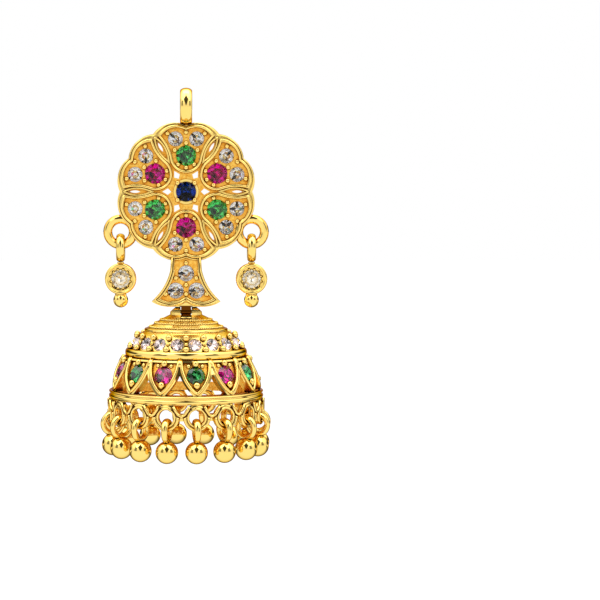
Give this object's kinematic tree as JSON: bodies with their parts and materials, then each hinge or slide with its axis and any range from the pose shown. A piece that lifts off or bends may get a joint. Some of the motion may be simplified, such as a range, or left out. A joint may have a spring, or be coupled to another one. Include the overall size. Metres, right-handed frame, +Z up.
{
  "type": "jhumka earring",
  "caption": "Gold jhumka drop earring: petalled stone-set stud plate with a fishtail and side charms, over a hinged pierced dome fringed with ball drops.",
  "frame": {"origin": "on the back face of the stud plate at the middle of the rosette, where the ear post starts and the lobe sits", "axes": "+Z up along the earring, the front faces -Y, +Y along the ear post into the lobe"},
  "size_m": [0.0214, 0.0221, 0.0456],
  "materials": {
    "gold": "polished",
    "green_stone": "polished",
    "red_stone": "polished",
    "blue_stone": "polished",
    "clear_stone": "polished"
  },
  "bodies": {
    "stud": {"stud_plate": "gold", "ear_post": "gold", "charm_left": "gold", "charm_right": "gold", "stone_centre": "blue_stone", "stones_white_rosette": "clear_stone", "stone_charm_left": "clear_stone", "stone_charm_right": "clear_stone", "stone_petal_1": "green_stone", "stone_petal_2": "red_stone", "stone_petal_3": "green_stone", "stone_petal_4": "red_stone", "stone_petal_5": "green_stone", "stone_petal_6": "red_stone", "stone_tail_1": "clear_stone", "stone_tail_2": "clear_stone", "stone_tail_3": "clear_stone"},
    "bell": {"dome": "gold", "hinge_pin": "gold", "stones_crown_row": "clear_stone", "stone_band_01": "green_stone", "stone_band_02": "red_stone", "stone_band_03": "green_stone", "stone_band_04": "red_stone", "stone_band_05": "green_stone", "stone_band_06": "red_stone", "stone_band_07": "green_stone", "stone_band_08": "green_stone", "stone_band_09": "red_stone", "stone_band_10": "green_stone", "stone_band_11": "red_stone", "stone_band_12": "green_stone", "stone_band_13": "red_stone", "drop_01": "gold", "drop_02": "gold", "drop_03": "gold", "drop_04": "gold", "drop_05": "gold", "drop_06": "gold", "drop_07": "gold", "drop_08": "gold", "drop_09": "gold", "drop_10": "gold", "drop_11": "gold", "drop_12": "gold", "drop_13": "gold", "drop_14": "gold", "drop_15": "gold", "drop_16": "gold"}
  },
  "joints": [
    {"name": "bell_swing", "type": "hinge", "parent": "stud", "child": "bell", "pos_m": [0, -0.00095, -0.01495], "axis": [1, 0, 0], "range_deg": [-30, 30]}
  ]
}
